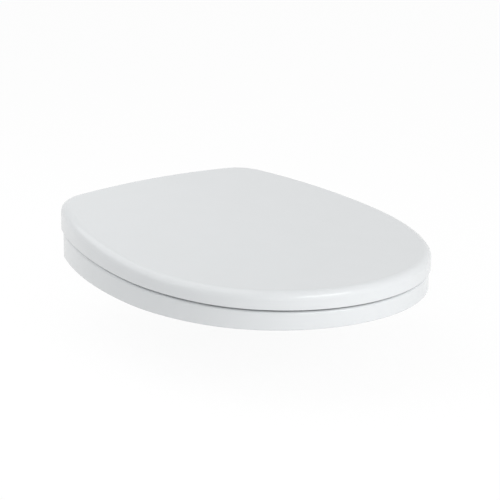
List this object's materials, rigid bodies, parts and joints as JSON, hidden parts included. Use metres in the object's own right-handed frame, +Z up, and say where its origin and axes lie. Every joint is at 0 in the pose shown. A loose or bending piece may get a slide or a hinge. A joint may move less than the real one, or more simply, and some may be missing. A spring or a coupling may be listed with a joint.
{
  "type": "toilet seat",
  "caption": "White toilet seat with an oval ring and a domed lid, both turning on a steel hinge bar held by two posts that bolt to the bowl.",
  "frame": {"origin": "midway between the two fixing studs, on the plane of the bowl's top where the post gaskets rest", "axes": "+Z up out of the bowl, -Y towards the front of the seat, +X along the hinge bar; the origin is under the middle of the bar"},
  "size_m": [0.368, 0.4701, 0.1147],
  "materials": {
    "duroplast": "glossy moulded white duroplast",
    "polished_steel": "ground stainless steel bar",
    "chromed_zinc": "bright chromed zinc casting",
    "black_steel": "blackened steel",
    "zinc_plated_steel": "zinc-plated steel",
    "gasket_rubber": "soft pale grey rubber",
    "black_rubber": "matt black rubber",
    "white_nylon": "satin white nylon",
    "grey_nylon": "satin grey nylon",
    "buffer_rubber": "soft off-white rubber"
  },
  "bodies": {
    "hinge_and_fixings": {"hinge_bar": "polished_steel", "hinge_post_left": "chromed_zinc", "grub_screw_left": "black_steel", "bar_cap_left": "chromed_zinc", "base_gasket_left": "gasket_rubber", "fixing_stud_left": "zinc_plated_steel", "rubber_washer_left": "black_rubber", "flat_washer_left": "zinc_plated_steel", "wing_nut_left": "white_nylon", "hinge_post_right": "chromed_zinc", "grub_screw_right": "black_steel", "bar_cap_right": "chromed_zinc", "base_gasket_right": "gasket_rubber", "fixing_stud_right": "zinc_plated_steel", "rubber_washer_right": "black_rubber", "flat_washer_right": "zinc_plated_steel", "wing_nut_right": "white_nylon"},
    "seat": {"seat_ring": "duroplast", "seat_bush_left": "grey_nylon", "seat_bush_right": "grey_nylon", "seat_buffer_rear_left": "buffer_rubber", "seat_buffer_rear_right": "buffer_rubber", "seat_buffer_front_left": "buffer_rubber", "seat_buffer_front_right": "buffer_rubber"},
    "lid": {"lid": "duroplast", "lid_bush_left": "grey_nylon", "lid_bush_right": "grey_nylon", "lid_buffer_rear_left": "buffer_rubber", "lid_buffer_rear_right": "buffer_rubber", "lid_buffer_front_left": "buffer_rubber", "lid_buffer_front_right": "buffer_rubber"}
  },
  "joints": [
    {"name": "seat_hinge", "type": "hinge", "parent": "hinge_and_fixings", "child": "seat", "pos_m": [0, 0, 0.045], "axis": [-1, 0, 0], "range_deg": [0, 95]},
    {"name": "lid_hinge", "type": "hinge", "parent": "seat", "child": "lid", "pos_m": [0, 0, 0.045], "axis": [-1, 0, 0], "range_deg": [0, 100]}
  ]
}
